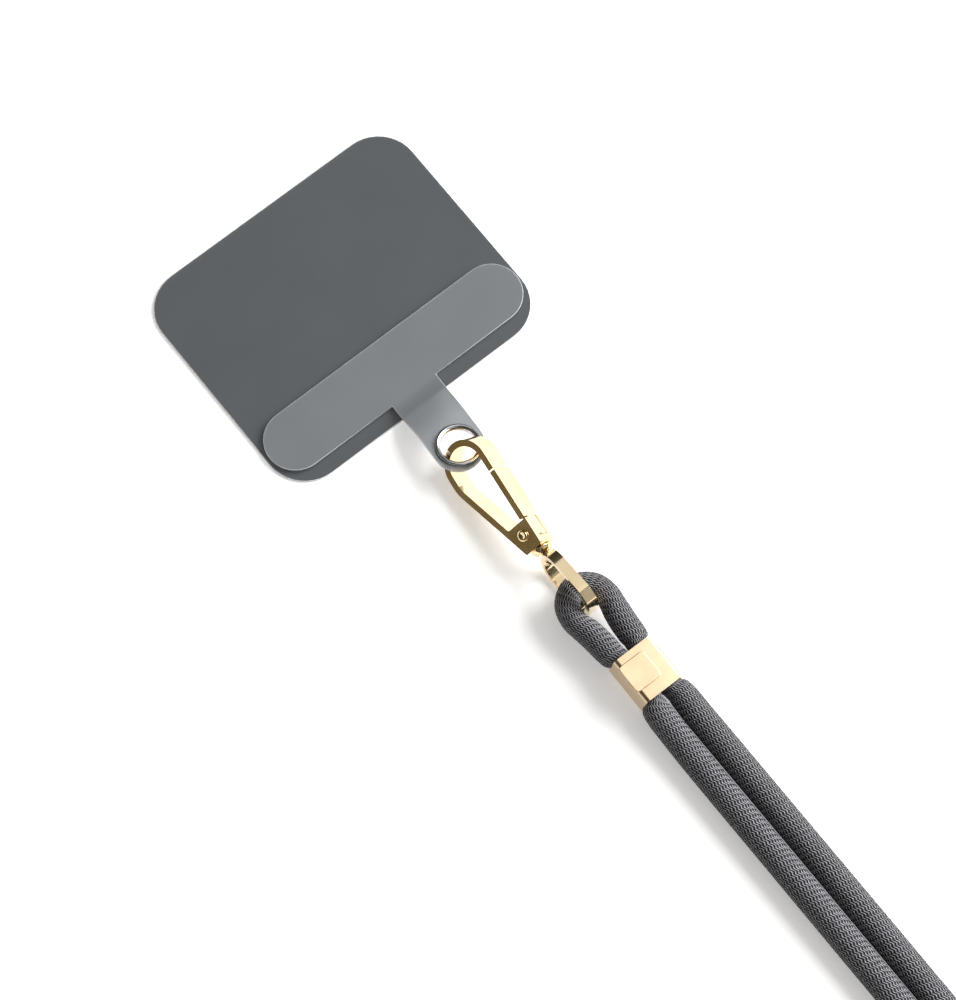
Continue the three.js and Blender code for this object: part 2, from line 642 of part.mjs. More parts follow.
const ringPlace = new THREE.Vector3(ringSeat, swivelSide, 0).applyMatrix4(hookMatrix).setZ(RING_MIDDLE);
const ringMatrix = lyingMatrix(ringPlace, RING_YAW, 0, RING_ROLL);
const postLine = ringMatrix.clone().invert().multiply(hookMatrix);
postLine.multiply(new THREE.Matrix4().makeTranslation(ringSeat, swivelSide, 0));
addPiece(lyingGroup(ringMatrix), "cord_ring", ringGeometry(postLine), GOLD);

const clamp = lyingGroup(lyingMatrix(CLAMP_PLACE, 0, CLAMP_PITCH, CLAMP_ROLL));
addPiece(clamp, "cord_clamp", clampGeometry(), PALE_GOLD);
addPiece(clamp, "clamp_plate", plateGeometry(), PALE_GOLD);
addPiece(strap, "cord_eye", eyeGeometry(), CHARCOAL);
addPiece(strap, "cord_loop", loopGeometry(), CHARCOAL);

export default group;
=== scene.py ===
"""Looks of a phone crossbody strap that lies on a table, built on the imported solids.

Metres, in the frame of the solids: +X runs from the film along the strap to the cord, +Y goes across it and
+Z is up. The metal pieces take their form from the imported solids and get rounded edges, and the cord is a
knitted tube along the same route as its solids.
"""
import json
import logging
import math
from dataclasses import dataclass
from enum import Enum
from typing import ClassVar

import bmesh
import bpy
import numpy as np
from mathutils import Matrix, Vector


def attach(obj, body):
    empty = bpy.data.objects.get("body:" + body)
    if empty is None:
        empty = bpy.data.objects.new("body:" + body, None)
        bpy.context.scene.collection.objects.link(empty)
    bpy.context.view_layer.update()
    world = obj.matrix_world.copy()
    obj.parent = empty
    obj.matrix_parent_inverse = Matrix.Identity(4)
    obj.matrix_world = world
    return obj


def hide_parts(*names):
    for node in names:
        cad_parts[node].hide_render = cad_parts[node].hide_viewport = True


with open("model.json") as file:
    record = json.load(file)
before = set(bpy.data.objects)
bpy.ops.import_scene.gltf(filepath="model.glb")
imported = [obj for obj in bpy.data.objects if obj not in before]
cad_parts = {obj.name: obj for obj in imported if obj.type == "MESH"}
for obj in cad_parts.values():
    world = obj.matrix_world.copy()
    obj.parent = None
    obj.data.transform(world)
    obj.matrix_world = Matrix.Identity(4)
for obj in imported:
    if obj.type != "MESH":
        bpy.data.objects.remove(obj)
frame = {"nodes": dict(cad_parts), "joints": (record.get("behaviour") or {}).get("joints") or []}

MM = 0.001
IMAGE_HEIGHT = 1000

log = logging.getLogger("strap")


class Body(Enum):
    """The rigid bodies of the frame that a piece can ride on."""

    STRAP = "strap"
    HOOK = "hook"
    GATE = "gate"


class Slot(Enum):
    """The material slots of the record."""

    FILM = "clear_film"
    TAB = "frosted_tab"
    STEEL = "eyelet_steel"
    GOLD = "polished_gold"
    SATIN = "satin_gold"
    CORD = "charcoal_cord"


class NodeGraph:
    """A short way to add and join shader nodes in one material or world."""

    def __init__(self, tree: bpy.types.NodeTree) -> None:
        """Starts from an empty tree.

        Args:
            tree: The node tree to fill.
        """
        self.tree = tree
        self.tree.nodes.clear()

    def add(self, kind: str, inputs: dict | None = None, **settings: object) -> bpy.types.Node:
        """Adds a node.

        Args:
            kind: The node's type name.
            inputs: Values or output sockets by input name or index.
            **settings: Attributes set on the node.

        Returns:
            The new node.
        """
        node = self.tree.nodes.new(kind)
        for name, value in settings.items():
            setattr(node, name, value)
        for key, value in (inputs or {}).items():
            socket = node.inputs[key]
            if isinstance(value, bpy.types.NodeSocket):
                self.tree.links.new(value, socket)
            else:
                socket.default_value = value
        return node

    def math(
        self, operation: str, first: bpy.types.NodeSocket | float, second: bpy.types.NodeSocket | float = 0.0
    ) -> bpy.types.NodeSocket:
        """Adds a math node.

        Args:
            operation: The node's operation, such as MULTIPLY.
            first: A number or a socket.
            second: A number or a socket.

        Returns:
            The result's socket.
        """
        return self.add("ShaderNodeMath", {0: first, 1: second}, operation=operation).outputs[0]

    def noise(self, place: bpy.types.NodeSocket, scale: float, detail: float) -> bpy.types.NodeSocket:
        """Adds a noise texture.

        Args:
            place: The socket with the place.
            scale: Patches in a metre.
            detail: Finer layers of the noise.

        Returns:
            The noise's socket, about 0.5 in the middle.
        """
        inputs = {"Vector": place, "Scale": scale, "Detail": detail}
        return self.add("ShaderNodeTexNoise", inputs).outputs["Fac"]

    def ramp(self, factor: bpy.types.NodeSocket, stops: list[tuple[float, tuple]]) -> bpy.types.NodeSocket:
        """Adds a colour ramp.

        Args:
            factor: The socket that picks the colour.
            stops: Places from 0 to 1 with their colours.

        Returns:
            The colour's socket.
        """
        node = self.add("ShaderNodeValToRGB", {0: factor})
        elements = node.color_ramp.elements
        while len(elements) < len(stops):
            elements.new(0.5)
        for element, (place, colour) in zip(elements, stops):
            element.position = place
            element.color = (*colour, 1.0)
        return node.outputs["Color"]


@dataclass(frozen=True)
class MetalFinish:
    """Plated metal with a fine uneven polish.

    Attributes:
        name: Material name.
        colour: Reflected colour, linear.
        shade: Colour of the fine unevenness, linear.
        roughness: Lowest roughness.
        roughness_high: Highest roughness.
        grain: Number of grains in a metre.
        relief: Height of the grain, in metres.
    """

    name: str
    colour: tuple[float, float, float]
    shade: tuple[float, float, float]
    roughness: float
    roughness_high: float
    grain: float
    relief: float

    BROAD: ClassVar[float] = 0.12  # broad patches to each fine grain

    def build(self) -> bpy.types.Material:
        """Builds the material.

        Returns:
            The material.
        """
        material = bpy.data.materials.new(self.name)
        material.use_nodes = True
        graph = NodeGraph(material.node_tree)
        place = graph.add("ShaderNodeTexCoord").outputs["Object"]
        broad = graph.noise(place, self.grain * self.BROAD, 3.0)
        fine = graph.noise(place, self.grain, 2.0)
        colour = graph.ramp(broad, [(0.35, self.shade), (0.6, self.colour)])
        spread = graph.add(
            "ShaderNodeMapRange",
            {"Value": broad, "From Min": 0.3, "From Max": 0.7, "To Min": self.roughness,
             "To Max": self.roughness_high},
        ).outputs["Result"]
        bump = graph.add("ShaderNodeBump", {"Height": fine, "Strength": 0.3, "Distance": self.relief})
        shader = graph.add(
            "ShaderNodeBsdfPrincipled",
            {"Base Color": colour, "Metallic": 1.0, "Roughness": spread, "Normal": bump.outputs["Normal"]},
        )
        graph.add("ShaderNodeOutputMaterial", {"Surface": shader.outputs["BSDF"]})
        return material


@dataclass(frozen=True)
class ClearFinish:
    """Clear or frosted plastic sheet.

    Attributes:
        name: Material name.
        colour: Tint, linear.
        roughness: Roughness of the surface.
        clearness: Share of light that passes through.
        cover: Opacity of the sheet as a whole.
    """

    name: str
    colour: tuple[float, float, float]
    roughness: float
    clearness: float
    cover: float

    CLOUDS: ClassVar[float] = 90.0  # cloudy patches in a metre
    SPECKS: ClassVar[float] = 2600.0  # specks in a metre

    def build(self) -> bpy.types.Material:
        """Builds the material.

        Returns:
            The material.
        """
        material = bpy.data.materials.new(self.name)
        material.use_nodes = True
        graph = NodeGraph(material.node_tree)
        place = graph.add("ShaderNodeTexCoord").outputs["Object"]
        cloud = graph.noise(place, self.CLOUDS, 4.0)
        speck = graph.noise(place, self.SPECKS, 2.0)
        dim = tuple(0.93 * channel for channel in self.colour)
        colour = graph.ramp(cloud, [(0.3, dim), (0.7, self.colour)])
        rough = graph.add(
            "ShaderNodeMapRange",
            {"Value": cloud, "From Min": 0.3, "From Max": 0.7, "To Min": self.roughness,
             "To Max": self.roughness + 0.06},
        ).outputs["Result"]
        bump = graph.add("ShaderNodeBump", {"Height": speck, "Strength": 0.15, "Distance": 0.02 * MM})
        shader = graph.add(
            "ShaderNodeBsdfPrincipled",
            {"Base Color": colour, "Roughness": rough, "IOR": 1.46, "Alpha": self.cover,
             "Transmission Weight": self.clearness, "Normal": bump.outputs["Normal"]},
        )
        graph.add("ShaderNodeOutputMaterial", {"Surface": shader.outputs["BSDF"]})
        return material


@dataclass(frozen=True)
class KnitFinish:
    """Fine slanted knit of a round cord, worked out from the tube's own UV.

    U is the length along the cord in metres and V goes once round it. The yarns lie in lines round the cord
    that drift sideways along it, and each line wavers once a stitch. The colour is painted light: painted
    shade between the yarns and a painted highlight on their tops.

    Attributes:
        name: Material name.
        yarn_highlight: Painted highlight on the yarns' tops, for the light that they catch, linear.
        gap: Painted shade between the yarns, linear.
        wales: Number of yarn lines round the cord.
        drift: Lines passed in a metre along the cord.
        stitch: Length of a stitch, in metres.
        waver: How far a line wavers, in line spacings.
    """

    name: str
    yarn_highlight: tuple[float, float, float]
    gap: tuple[float, float, float]
    wales: int
    drift: float
    stitch: float
    waver: float

    STITCH_TURNS: ClassVar[int] = 5  # stitches by which the beat shifts once round the cord
    SWELL: ClassVar[float] = 0.25  # share of a yarn's height that comes and goes with the beat
    SWELL_LAG: ClassVar[float] = 1.1  # radians from the waver to the swell
    MIDDLE: ClassVar[float] = 0.2  # share of the painted highlight half way up, the rest painted shade
    PATCHES: ClassVar[float] = 700.0  # patches of uneven knit in a metre
    FIBRES: ClassVar[float] = 5200.0  # fibres in a metre
    BEAT_DRIFT: ClassVar[float] = 2.4  # radians by which a patch shifts the beat
    LINE_DRIFT: ClassVar[float] = 1.6  # radians by which a patch shifts the lines
    BUMP: ClassVar[float] = 0.12 * MM  # height of the fine relief

    def build(self) -> bpy.types.Material:
        """Builds the material.

        Returns:
            The material.
        """
        material = bpy.data.materials.new(self.name)
        material.use_nodes = True
        graph = NodeGraph(material.node_tree)
        uv = graph.add("ShaderNodeUVMap", uv_map="UVMap").outputs["UV"]
        along_around = graph.add("ShaderNodeSeparateXYZ", {"Vector": uv})
        along, around = along_around.outputs["X"], along_around.outputs["Y"]
        place = graph.add("ShaderNodeTexCoord").outputs["Object"]
        uneven = graph.noise(place, self.PATCHES, 2.0)
        fuzz = graph.noise(place, self.FIBRES, 2.0)

        turn = 2 * math.pi
        beat = graph.math("ADD", graph.math("MULTIPLY", along, turn / self.stitch),
                          graph.math("MULTIPLY", around, turn * self.STITCH_TURNS))
        beat = graph.math("ADD", beat, graph.math("MULTIPLY", uneven, self.BEAT_DRIFT))
        waver = graph.math("MULTIPLY", graph.math("SINE", beat), self.waver * turn)
        line = graph.math("ADD", graph.math("MULTIPLY", around, turn * self.wales),
                          graph.math("MULTIPLY", along, turn * self.drift))
        line = graph.math("ADD", line, waver)
        line = graph.math("ADD", line, graph.math("MULTIPLY", uneven, self.LINE_DRIFT))
        crest = graph.math("MULTIPLY", graph.math("COSINE", line), 0.5)
        swell = graph.math("SINE", graph.math("ADD", beat, self.SWELL_LAG))
        swell = graph.math("ADD", graph.math("MULTIPLY", swell, self.SWELL), 1 - self.SWELL)
        height = graph.math("ADD", graph.math("MULTIPLY", crest, swell), 0.5)
        # Fibre speckle times the knit's height; the ramp below turns it into painted shade and painted
        # highlight
        fuzz_and_painted_light = graph.math("MULTIPLY", height, graph.math("ADD", graph.math("MULTIPLY", fuzz, 0.8), 0.6))

        middle = tuple(self.MIDDLE * top + (1 - self.MIDDLE) * low for top, low in zip(self.yarn_highlight, self.gap))
        # painted shade in the gaps between the yarns, a painted highlight on the yarns' tops
        colour = graph.ramp(fuzz_and_painted_light, [(0.42, self.gap), (0.64, middle), (0.88, self.yarn_highlight)])
        bump = graph.add("ShaderNodeBump", {"Height": height, "Strength": 0.9, "Distance": self.BUMP})
        shader = graph.add(
            "ShaderNodeBsdfPrincipled",
            {"Base Color": colour, "Roughness": 0.62, "Sheen Weight": 0.3, "Sheen Roughness": 0.3,
             "Specular IOR Level": 0.35, "Normal": bump.outputs["Normal"]},
        )
        graph.add("ShaderNodeOutputMaterial", {"Surface": shader.outputs["BSDF"]})
        return material


@dataclass(frozen=True)
class FloorFinish:
    """Plain pale table top, lit a little from below.

    Attributes:
        name: Material name.
        colour: Colour, linear.
        glow: Brightness of the light from below.
    """

    name: str
    colour: tuple[float, float, float]
    glow: float

    def build(self) -> bpy.types.Material:
        """Builds the material.

        Returns:
            The material.
        """
        material = bpy.data.materials.new(self.name)
        material.use_nodes = True
        graph = NodeGraph(material.node_tree)
        shader = graph.add(
            "ShaderNodeBsdfPrincipled",
            {"Base Color": (*self.colour, 1.0), "Roughness": 0.9, "Specular IOR Level": 0.1,
             "Emission Color": (1.0, 1.0, 1.0, 1.0), "Emission Strength": self.glow},
        )
        graph.add("ShaderNodeOutputMaterial", {"Surface": shader.outputs["BSDF"]})
        return material


POLISHED_GOLD = MetalFinish(
    name="polished pale gold",
    colour=(0.95, 0.77, 0.5),
    shade=(0.91, 0.71, 0.42),
    roughness=0.07,
    roughness_high=0.16,
    grain=1500.0,
    relief=0.004 * MM,
)
SATIN_GOLD = MetalFinish(
    name="satin pale gold",
    colour=(0.68, 0.52, 0.34),
    shade=(0.65, 0.495, 0.32),
    roughness=0.3,
    roughness_high=0.34,
    grain=3200.0,
    relief=0.012 * MM,
)
NICKEL = MetalFinish(
    name="polished nickel",
    colour=(0.74, 0.75, 0.79),
    shade=(0.62, 0.63, 0.68),
    roughness=0.1,
    roughness_high=0.2,
    grain=1800.0,
    relief=0.004 * MM,
)
CLEAR_FILM = ClearFinish(
    name="clear film",
    colour=(0.09, 0.1, 0.11),
    roughness=0.38,
    clearness=0.22,
    cover=0.8,
)
FROSTED_TAB = ClearFinish(
    name="frosted tab",
    colour=(0.27, 0.29, 0.31),
    roughness=0.34,
    clearness=0.25,
    cover=0.8,
)
# Near-white on the film's and the tab's rounded edges: a painted highlight for the light that the edges
# catch.
PAINTED_EDGE_HIGHLIGHT = ClearFinish(
    name="painted edge highlight",
    colour=(0.93, 0.94, 0.95),
    roughness=0.2,
    clearness=0.2,
    cover=1.0,
)
CHARCOAL_KNIT = KnitFinish(
    name="charcoal knit",
    # painted highlight on the yarns' tops and painted shade in the gaps between them
    yarn_highlight=(0.42, 0.42, 0.46),
    gap=(0.002, 0.002, 0.003),
    wales=32,
    drift=300.0,
    stitch=0.98 * MM,
    waver=0.26,
)
PALE_TABLE = FloorFinish(name="pale table", colour=(0.9, 0.9, 0.9), glow=0.4)


def add_object(name: str, verts: np.ndarray, faces: list, uv: np.ndarray | None = None) -> bpy.types.Object:
    """Makes a smooth mesh object at the origin.

    Args:
        name: Object name.
        verts: Points, one row each, in metres.
        faces: Point numbers of each face.
        uv: Coordinates of each corner of each face, or None.

    Returns:
        The object, linked to the scene.
    """
    mesh = bpy.data.meshes.new(name)
    mesh.from_pydata(verts.tolist(), [], faces)
    if uv is not None:
        mesh.uv_layers.new(name="UVMap").data.foreach_set("uv", uv.astype(np.float32).ravel())
    mesh.polygons.foreach_set("use_smooth", np.ones(len(mesh.polygons), bool))
    mesh.update()
    piece = bpy.data.objects.new(name, mesh)
    bpy.context.scene.collection.objects.link(piece)
    return piece


def settle(
    piece: bpy.types.Object, body: Body, slot: Slot, material: bpy.types.Material, *nodes: str
) -> None:
    """Gives a piece its material, its body and the solids that it stands for.

    Args:
        piece: The piece.
        body: The body that it rides on.
        slot: Its slot in the record; not used.
        material: Its material.
        *nodes: The solids that it replaces.
    """
    piece.data.materials.clear()
    piece.data.materials.append(material)
    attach(piece, body.value)
    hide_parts(*nodes)
    log.info("%s: %d faces on body %s", piece.name, len(piece.data.polygons), body.value)


@dataclass
class HardPiece:
    """A stiff piece with the form of its solid and rounded edges.

    Attributes:
        node: The solid that it takes its form from.
        body: The body that it rides on.
        slot: Its slot in the record.
        edge: Radius of its rounded edges, in metres.
        edge_highlight: Material of the rounded edges, a painted highlight for the light that they catch, or
            None for the piece's own.
        crease: Angle in degrees from which an edge is rounded.
        steps: Faces across a rounded edge.
    """

    node: str
    body: Body
    slot: Slot
    edge: float
    edge_highlight: bpy.types.Material | None = None
    crease: float = 32.0
    steps: int = 3

    WELD: ClassVar[float] = 0.002 * MM  # distance within which points are joined
    FLAT_ANGLE: ClassVar[float] = math.radians(0.6)  # faces within this angle are joined

    def mesh(self) -> bpy.types.Object:
        """Copies the solid, joins its flat faces and rounds its edges.

        Returns:
            The piece.
        """
        work = bmesh.new()
        work.from_mesh(frame["nodes"][self.node].data)
        for layer in list(work.loops.layers.uv.values()):
            work.loops.layers.uv.remove(layer)
        bmesh.ops.remove_doubles(work, verts=work.verts, dist=self.WELD)
        bmesh.ops.dissolve_limit(
            work,
            angle_limit=self.FLAT_ANGLE,
            use_dissolve_boundaries=False,
            verts=work.verts,
            edges=work.edges,
        )
        bmesh.ops.recalc_face_normals(work, faces=work.faces)
        mesh = bpy.data.meshes.new(self.node + "_look")
        work.to_mesh(mesh)
        work.free()
        piece = bpy.data.objects.new(self.node + "_look", mesh)
        bpy.context.scene.collection.objects.link(piece)
        mesh.polygons.foreach_set("use_smooth", np.ones(len(mesh.polygons), bool))
        bevel = piece.modifiers.new("rounded edges", "BEVEL")
        bevel.limit_method = "ANGLE"
        bevel.angle_limit = math.radians(self.crease)
        bevel.width = self.edge
        bevel.segments = self.steps
        bevel.use_clamp_overlap = True
        bevel.harden_normals = False
        # the rounded edges get the second material, the painted edge highlight, if there is one
        bevel.material = 1 if self.edge_highlight else -1
        weighted = piece.modifiers.new("flat faces stay flat", "WEIGHTED_NORMAL")
        weighted.keep_sharp = True
        return piece

    def dress(self, material: bpy.types.Material) -> bpy.types.Object:
        """Makes the piece and puts it in place of its solid.

        Args:
            material: Its material.

        Returns:
            The piece.
        """
        piece = self.mesh()
        settle(piece, self.body, self.slot, material, self.node)
        if self.edge_highlight:
            piece.data.materials.append(self.edge_highlight)
        return piece


@dataclass
class Gate(HardPiece):
    """The sprung gate, whose tongue fills the block's slot but for a fine line all round.

    Attributes:
        pin: The joint whose axis the tongue turns on.
        line: The joint whose axis runs along the hook.
        tongue: Half of the tongue's width in its solid, in metres.
        fill: How much the tongue is widened on each side.
        corner: Start of the tongue's round top corner, along the hook and up, from the pin.
        round_end: Radius of that corner in its solid.
        square_end: Reach of the squared corner.
    """

    pin: str = "gate_pivot"
    line: str = "hook_swivel"
    tongue: float = 0.65 * MM
    fill: float = 0.24 * MM
    corner: tuple[float, float] = (0.22 * MM, 1.15 * MM)
    round_end: float = 0.88 * MM
    square_end: tuple[float, float] = (1.1 * MM, 0.96 * MM)

    SLACK: ClassVar[float] = 0.03 * MM

    def mesh(self) -> bpy.types.Object:
        """Makes the piece, widens its tongue along the pin and squares the tongue's top corner.

        A point on the corner's arc moves out along its own ray until it meets a square round the arc.

        Returns:
            The piece.
        """
        piece = super().mesh()
        joints = {entry["name"]: entry for entry in frame["joints"]}
        axis = np.array(joints[self.pin]["axis"]) / np.linalg.norm(joints[self.pin]["axis"])
        along = np.array(joints[self.line]["axis"]) / np.linalg.norm(joints[self.line]["axis"])
        places = np.empty(3 * len(piece.data.vertices))
        piece.data.vertices.foreach_get("co", places)
        offset = places.reshape(-1, 3) - joints[self.pin]["pos_m"]
        up = np.cross(axis, along)
        up *= np.sign((offset @ up).mean())
        side, run, rise = offset @ axis, offset @ along, offset @ up
        thin = np.abs(np.abs(side) - self.tongue) < self.SLACK
        ray = np.stack([run, rise], axis=1) - self.corner
        onward = thin & (ray > -self.SLACK).all(axis=1)
        share = np.clip(ray / self.round_end, 0, 1)
        grown = share / np.maximum(share.max(axis=1, keepdims=True), 1e-6) * self.square_end
        shift = np.where(onward[:, None], grown - ray, 0)
        offset += (np.sign(side) * thin * self.fill)[:, None] * axis
        offset += shift[:, :1] * along + shift[:, 1:] * up
        piece.data.vertices.foreach_set("co", (offset + joints[self.pin]["pos_m"]).ravel())
        piece.data.update()
        return piece


@dataclass
class Rivet:
    """Peened rivet: a shank with a ringed, dimpled head at each end.

    Attributes:
        node: The solid that it stands for.
        joint: The joint whose axis it lies on.
        shank: Radius of the shank, in metres.
        head: Radius of a head.
        reach: From the middle to a head's top.
        head_height: Height of a head.
        dimple: Depth of the dimple in a head.
    """

    node: str = "gate_rivet"
    joint: str = "gate_pivot"
    shank: float = 0.5 * MM
    head: float = 0.9 * MM
    reach: float = 2.22 * MM
    head_height: float = 0.32 * MM
    dimple: float = 0.2 * MM

    SIDES: ClassVar[int] = 48

    def profile(self) -> np.ndarray:
        """Gives the turned outline from one pole to the other.

        Returns:
            Rows of radius and height, in metres.
        """
        inner = 0.5 * self.head
        # from the dimple's middle over the ring round it to the shank
        half = [
            (0.0, self.reach - self.dimple),
            (0.55 * inner, self.reach - 0.92 * self.dimple),
            (0.9 * inner, self.reach - 0.45 * self.dimple),
            (1.12 * inner, self.reach - 0.06 * self.dimple),
            (0.74 * self.head, self.reach),
            (0.9 * self.head, self.reach - 0.12 * self.head_height),
            (self.head, self.reach - 0.4 * self.head_height),
            (self.head, self.reach - self.head_height),
            (self.shank, self.reach - self.head_height),
        ]
        upper = np.array(half)
        lower = upper[::-1] * (1.0, -1.0)
        return np.concatenate([upper, lower])

    def mesh(self) -> bpy.types.Object:
        """Turns the outline about the joint's axis.

        Returns:
            The piece.
        """
        joint = next(entry for entry in frame["joints"] if entry["name"] == self.joint)
        axis = Vector(joint["axis"]).normalized()
        across = axis.orthogonal().normalized()
        basis = np.array([across, axis.cross(across), axis])
        outline = self.profile()
        angles = np.linspace(0, 2 * np.pi, self.SIDES, endpoint=False)
        rings = outline[1:-1]
        ring_points = np.stack(
            [
                rings[:, :1] * np.cos(angles),
                rings[:, :1] * np.sin(angles),
                np.repeat(rings[:, 1:], self.SIDES, axis=1),
            ],
            axis=-1,
        ).reshape(-1, 3)
        poles = np.array([[0, 0, outline[0, 1]], [0, 0, outline[-1, 1]]])
        verts = np.concatenate([ring_points, poles]) @ basis + np.array(joint["pos_m"])
        row, column = np.meshgrid(np.arange(len(rings) - 1), np.arange(self.SIDES), indexing="ij")
        following = (column + 1) % self.SIDES
        quads = np.stack(
            [
                row * self.SIDES + column,
                (row + 1) * self.SIDES + column,
                (row + 1) * self.SIDES + following,
                row * self.SIDES + following,
            ],
            axis=-1,
        ).reshape(-1, 4)
        first = np.arange(self.SIDES)
        after = (first + 1) % self.SIDES
        top = len(ring_points)
        last = (len(rings) - 1) * self.SIDES
        caps = [[top, a, b] for a, b in zip(first.tolist(), after.tolist())]
        caps += [[top + 1, last + b, last + a] for a, b in zip(first.tolist(), after.tolist())]
        return add_object(self.node + "_look", verts, quads.tolist() + caps)

    def dress(self, material: bpy.types.Material) -> bpy.types.Object:
        """Makes the rivet and puts it in place of its solid.

        Args:
            material: Its material.

        Returns:
            The piece.
        """
        piece = self.mesh()
        settle(piece, Body.HOOK, Slot.GOLD, material, self.node)
        return piece


@dataclass(frozen=True)
class Station:
    """A place on one leg of the cord, in millimetres from the eyelet's middle.

    Attributes:
        x: Distance along the strap.
        spread: Distance of the leg from the strap's middle line.
        height: The leg's middle above the table.
        width: Share of the cord's diameter that is left where it is squeezed across.
        turn: Share of the clamp's roll.
        line: The strap's middle line, in Y.
    """

    x: float
    spread: float
    height: float = 2.42
    width: float = 1.0
    turn: float = 0.0
    line: float = -1.15


@dataclass
class CordRoute:
    """The whole cord's middle line: out round the ring, back through the clamp and round the body.

    Attributes:
        start: X of the eyelet's middle, in metres.
        roll: Roll of the clamp, in degrees.
        radius: Radius of the cord, in metres.
        end: Distance from the eyelet's middle to the loop's far end, in millimetres.
    """

    start: float = 31.0 * MM
    roll: float = -5.0
    radius: float = 2.375 * MM
    end: float = 613.0

    STEPS: ClassVar[int] = 60  # places worked out between two points
    TIP: ClassVar[Station] = Station(29.08, 0.0, 4.25, 0.86, 0.0, -1.3)
    EYE: ClassVar[list[Station]] = [
        Station(63, 2.44, 2.42, 1, 0),
        Station(59, 2.43, 2.5, 1, 0.2),
        Station(55, 2.4, 2.78, 0.99, 0.5),
        Station(53.2, 2.42, 2.98, 0.98, 0.8),
        Station(51.5, 2.28, 3.19, 0.93, 1),
        Station(50.8, 1.95, 3.27, 0.78, 1),
        Station(50.2, 1.57, 3.32, 0.6, 1),
        Station(48, 1.57, 3.48, 0.6, 1),
        Station(46.2, 1.57, 3.62, 0.6, 1),
        Station(44, 1.57, 3.78, 0.6, 1),
        Station(42.2, 1.57, 3.89, 0.6, 1),
        Station(41.6, 1.95, 3.93, 0.78, 1, -1.17),
        Station(40.9, 2.25, 3.97, 0.92, 0.95, -1.19),
        Station(39.6, 2.4, 4.04, 0.94, 0.85, -1.23),
        Station(37.8, 2.55, 4.11, 0.94, 0.6, -1.25),
        Station(35.9, 2.8, 4.18, 0.93, 0.3, -1.25),
        Station(34.4, 3.12, 4.22, 0.86, 0.1, -1.3),
        Station(32.9, 3.3, 4.24, 0.84, 0, -1.3),
        Station(30.75, 2.71, 4.25, 0.85, 0, -1.3),
        Station(29.4, 1.25, 4.25, 0.85, 0, -1.3),
    ]
    LOOP: ClassVar[list[Station]] = [
        Station(81, 2.44),
        Station(99, 2.44),
        Station(117, 2.44),
        Station(129, 2.6),
        Station(145, 4.4),
        Station(169, 13),
        Station(204, 36),
        Station(249, 71),
        Station(304, 109),
        Station(364, 136),
        Station(424, 146),
        Station(484, 140),
        Station(539, 117),
        Station(581, 80),
        Station(605, 40),
    ]

    def leg(self, stations: list[Station], side: int) -> np.ndarray:
        """Gives the points of one leg.

        Args:
            stations: Its stations.
            side: 1 towards +Y, -1 towards -Y.

        Returns:
            One point a row, in metres.
        """
        rows = np.array([[s.x, s.spread, s.height, s.turn, s.line] for s in stations])
        lift = side * rows[:, 1] * math.tan(math.radians(self.roll)) * rows[:, 3]
        points = np.stack([rows[:, 0], rows[:, 4] + side * rows[:, 1], rows[:, 2] + lift], axis=1) * MM
        return points + (self.start, 0, 0)

    def points(self) -> np.ndarray:
        """Gives the closed route's points, from the -Y leg's open end round the ring and the body.

        Returns:
            One point a row, in metres.
        """
        return np.concatenate(
            [
                self.leg(self.EYE, -1),
                self.leg([self.TIP], 1),
                self.leg(self.EYE, 1)[::-1],
                self.leg(self.LOOP, 1),
                self.leg([Station(self.end, 0.0)], 1),
                self.leg(self.LOOP, -1)[::-1],
            ]
        )

    def curve(self) -> tuple[np.ndarray, np.ndarray]:
        """Draws a smooth closed curve through the points.

        It is a centripetal Catmull-Rom curve: the time between two points is the root of their distance.

        Returns:
            The places, one a row, and the length of cord up to each.
        """
        knots = self.points()
        before, after, beyond = np.roll(knots, 1, 0), np.roll(knots, -1, 0), np.roll(knots, -2, 0)
        gap = np.sqrt(np.linalg.norm(after - knots, axis=1))[:, None]
        gap_before, gap_after = np.roll(gap, 1, 0), np.roll(gap, -1, 0)
        chord = (after - knots) / gap
        leave = (knots - before) / gap_before - (after - before) / (gap_before + gap) + chord
        reach = chord - (beyond - knots) / (gap + gap_after) + (beyond - after) / gap_after
        leave, reach = leave * gap, reach * gap
        t = np.linspace(0, 1, self.STEPS, endpoint=False)[None, :, None]
        a, b, c, d = (value[:, None, :] for value in (knots, after, leave, reach))
        places = (
            a * (2 * t**3 - 3 * t**2 + 1)
            + c * (t**3 - 2 * t**2 + t)
            + b * (3 * t**2 - 2 * t**3)
            + d * (t**3 - t**2)
        ).reshape(-1, 3)
        places = np.concatenate([places, places[:1]])
        lengths = np.concatenate([[0], np.cumsum(np.linalg.norm(np.diff(places, axis=0), axis=1))])
        return places, lengths

    def squeeze(self, x: np.ndarray) -> np.ndarray:
        """Reads the cord's width share at places along the strap.

        Args:
            x: X of each place, in metres.

        Returns:
            The share of each.
        """
        stations = [self.TIP, *reversed(self.EYE)]
        places = np.array([s.x for s in stations]) * MM + self.start
        return np.interp(x, places, [s.width for s in stations])


